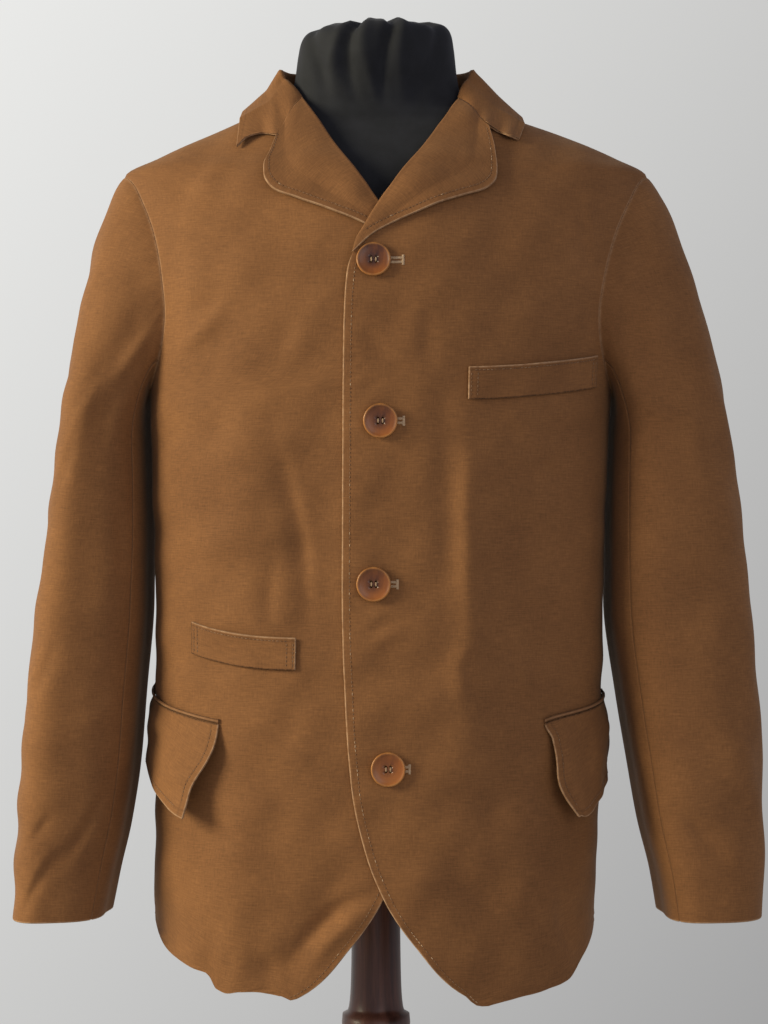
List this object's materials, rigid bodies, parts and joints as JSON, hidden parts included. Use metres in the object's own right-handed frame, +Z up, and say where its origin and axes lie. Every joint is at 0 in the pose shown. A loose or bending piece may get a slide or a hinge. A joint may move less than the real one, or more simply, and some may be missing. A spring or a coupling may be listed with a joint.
{
  "type": "sack coat on a dress form",
  "caption": "Single-breasted brown duck sack coat with notched lapels, welt and flap pockets, worn by a limbless dress form on a turned stand.",
  "frame": {"origin": "centre of the stand base's underside, on the floor", "axes": "+Z up; the coat faces -Y; +X is the wearer's left"},
  "size_m": [0.634, 0.38, 1.519],
  "materials": {
    "duck": "matt brown cotton duck, worn pale at the edges",
    "form_cloth": "matt black cotton cover",
    "mahogany": "dark polished mahogany",
    "horn": "mottled brown corozo, satin"
  },
  "bodies": {
    "root": {"front_left": "duck", "front_right": "duck", "back": "duck", "lapel_left": "duck", "lapel_right": "duck", "collar": "duck", "sleeve_top_left": "duck", "sleeve_under_left": "duck", "sleeve_top_right": "duck", "sleeve_under_right": "duck", "breast_welt": "duck", "watch_welt": "duck", "flap_left": "duck", "flap_right": "duck", "jet_left": "duck", "jet_right": "duck", "button_1": "horn", "button_2": "horn", "button_3": "horn", "button_4": "horn", "dress_form": "form_cloth", "stand_post": "mahogany", "stand_base": "mahogany"}
  },
  "joints": []
}
